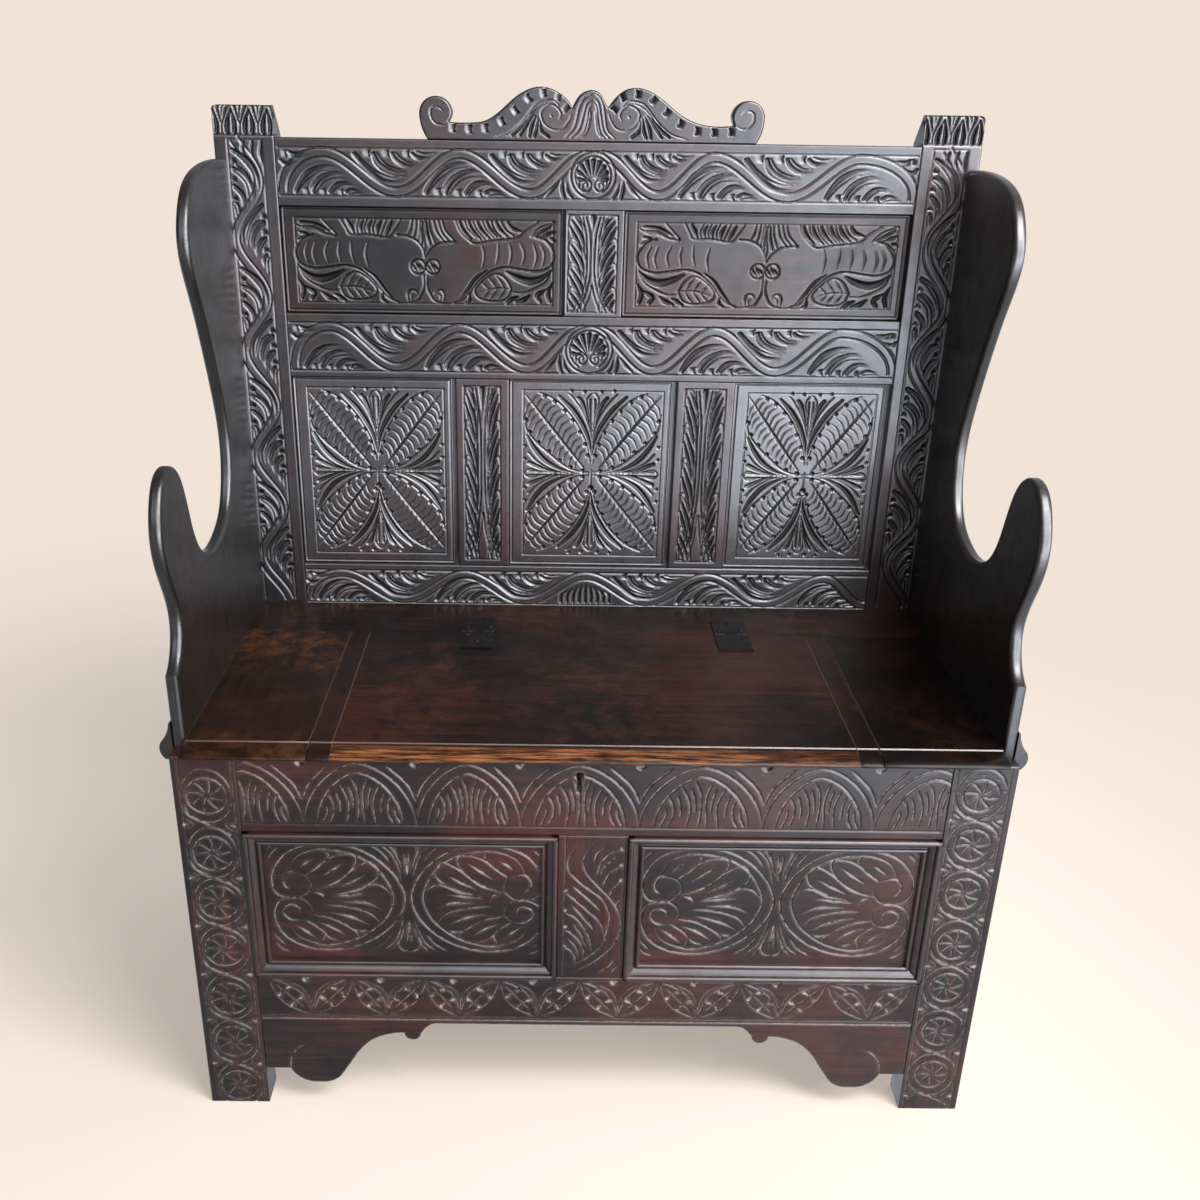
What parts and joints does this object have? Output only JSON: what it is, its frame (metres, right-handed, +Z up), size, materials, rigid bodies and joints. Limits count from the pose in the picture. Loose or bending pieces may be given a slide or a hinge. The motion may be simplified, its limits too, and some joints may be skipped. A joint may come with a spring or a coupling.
{
  "type": "box settle bench",
  "caption": "Carved oak settle: a panelled chest with a hinged seat lid, a tall framed and panelled back, shaped wings at the sides and a scrolled crest.",
  "frame": {"origin": "on the floor, under the middle of the whole settle's box", "axes": "+X to the right seen from in front, +Y to the back, +Z up"},
  "size_m": [0.9926, 0.481, 1.21],
  "materials": {
    "carved_oak": "dark stained and waxed oak, gouge carved",
    "plain_oak": "dark stained and waxed oak, flat boards and mouldings",
    "seat_oak": "worn, waxed seat boards with a rubbed brown front edge",
    "peg_oak": "plain riven oak pegs and dowels",
    "iron": "black wrought iron, dull"
  },
  "bodies": {
    "carcase": {"back_foot_rail": "plain_oak", "back_middle_rail": "carved_oak", "back_muntin_box": "plain_oak", "back_muntin_lower_left": "carved_oak", "back_muntin_lower_right": "carved_oak", "back_muntin_upper": "carved_oak", "back_panel_box_left": "plain_oak", "back_panel_box_right": "plain_oak", "back_panel_lower_centre": "carved_oak", "back_panel_lower_left": "carved_oak", "back_panel_lower_right": "carved_oak", "back_panel_upper_left": "carved_oak", "back_panel_upper_right": "carved_oak", "back_seat_rail": "carved_oak", "back_stile_left": "carved_oak", "back_stile_right": "carved_oak", "back_top_rail": "carved_oak", "crest": "carved_oak", "crest_dowels": "peg_oak", "floor_boards": "plain_oak", "floor_ledgers": "plain_oak", "frame_pegs": "peg_oak", "front_apron": "plain_oak", "front_bottom_rail": "carved_oak", "front_moulding_left": "plain_oak", "front_moulding_right": "plain_oak", "front_muntin": "carved_oak", "front_panel_left": "carved_oak", "front_panel_right": "carved_oak", "front_stile_left": "carved_oak", "front_stile_right": "carved_oak", "front_top_rail": "carved_oak", "hinge_leaf_seat_left": "iron", "hinge_leaf_seat_right": "iron", "hinge_nails_seat": "iron", "hinge_pins": "iron", "lock_case": "iron", "seat_bearers": "plain_oak", "seat_end_left": "seat_oak", "seat_end_right": "seat_oak", "seat_rear_board": "seat_oak", "side_bottom_rail_left": "plain_oak", "side_bottom_rail_right": "plain_oak", "side_panel_left": "plain_oak", "side_panel_right": "plain_oak", "side_top_rail_left": "plain_oak", "side_top_rail_right": "plain_oak", "wing_left": "plain_oak", "wing_moulding_left": "plain_oak", "wing_moulding_right": "plain_oak", "wing_right": "plain_oak"},
    "lid": {"hinge_leaf_lid_left": "iron", "hinge_leaf_lid_right": "iron", "hinge_nails_lid": "iron", "lid_board_front": "seat_oak", "lid_board_rear": "seat_oak", "lid_cleat_left": "seat_oak", "lid_cleat_right": "seat_oak", "lid_staple": "iron"},
    "lock_bolt": {"lock_bolt": "iron"}
  },
  "joints": [
    {"name": "lid_hinge", "type": "hinge", "parent": "carcase", "child": "lid", "pos_m": [0, 0.1005, 0.5202], "axis": [-1, 0, 0], "range_deg": [0, 104]},
    {"name": "lock_bolt_slide", "type": "slide", "parent": "carcase", "child": "lock_bolt", "axis": [1, 0, 0], "range_m": [0, 0.008]}
  ]
}
